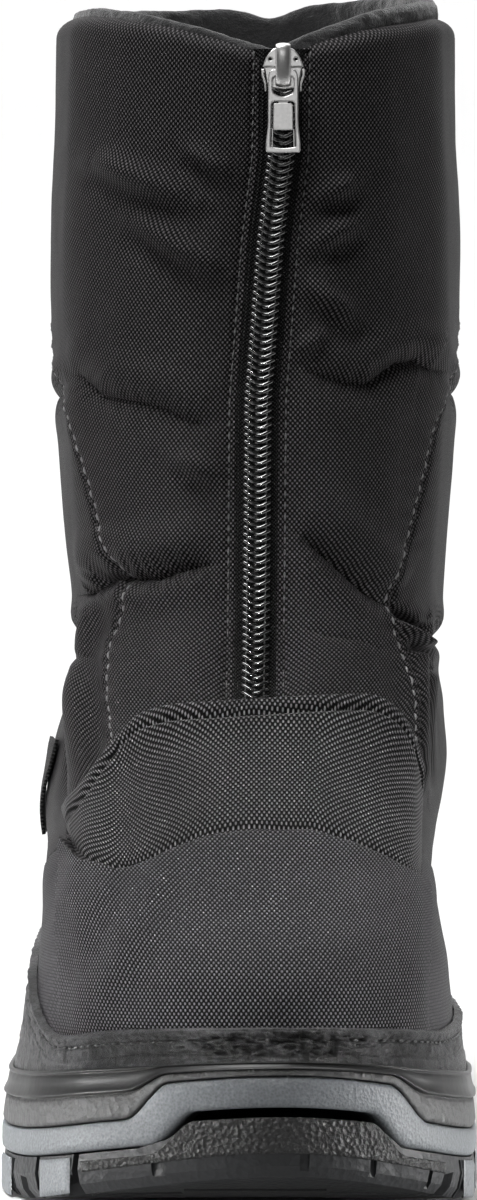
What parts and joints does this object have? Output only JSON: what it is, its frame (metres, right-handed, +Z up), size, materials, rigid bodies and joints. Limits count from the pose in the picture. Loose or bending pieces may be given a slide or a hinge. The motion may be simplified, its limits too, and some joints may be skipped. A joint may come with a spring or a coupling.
{
  "type": "snow boot",
  "caption": "Padded winter boot with a hollow quilted shaft, front zip with a hinged pull tab, instep pad, suede mudguard and layered rubber cup sole.",
  "frame": {"origin": "on the floor under the middle of the boot's bounding box", "axes": "toe toward -Y, heel toward +Y, +X toward the big-toe side, +Z up"},
  "size_m": [0.1183, 0.305, 0.3029],
  "materials": {
    "outsole_rubber": "matte black rubber with grained bumper",
    "midsole_foam": "matte speckled grey foam rubber",
    "cup_rubber": "semi-gloss black rubber",
    "insole_fabric": "dark fleece",
    "shell_fabric": "woven nylon over padding, fleece lined",
    "suede": "napped charcoal suede",
    "pad_fabric": "coarse woven nylon over padding",
    "zip_fabric": "black coil zip and tape",
    "zip_metal": "gunmetal-plated die-cast zinc"
  },
  "bodies": {
    "boot": {"outsole": "outsole_rubber", "midsole_band": "midsole_foam", "sole_cup": "cup_rubber", "insole": "insole_fabric", "upper": "shell_fabric", "mudguard": "suede", "instep_pad": "pad_fabric", "zip_tape": "zip_fabric", "zip_slider": "zip_metal"},
    "pull_tab": {"zip_pull": "zip_metal"}
  },
  "joints": [
    {"name": "pull_tab_hinge", "type": "hinge", "parent": "boot", "child": "pull_tab", "pos_m": [0.0115, -0.0026, 0.28], "axis": [-1, 0, 0], "range_deg": [0, 135]}
  ]
}
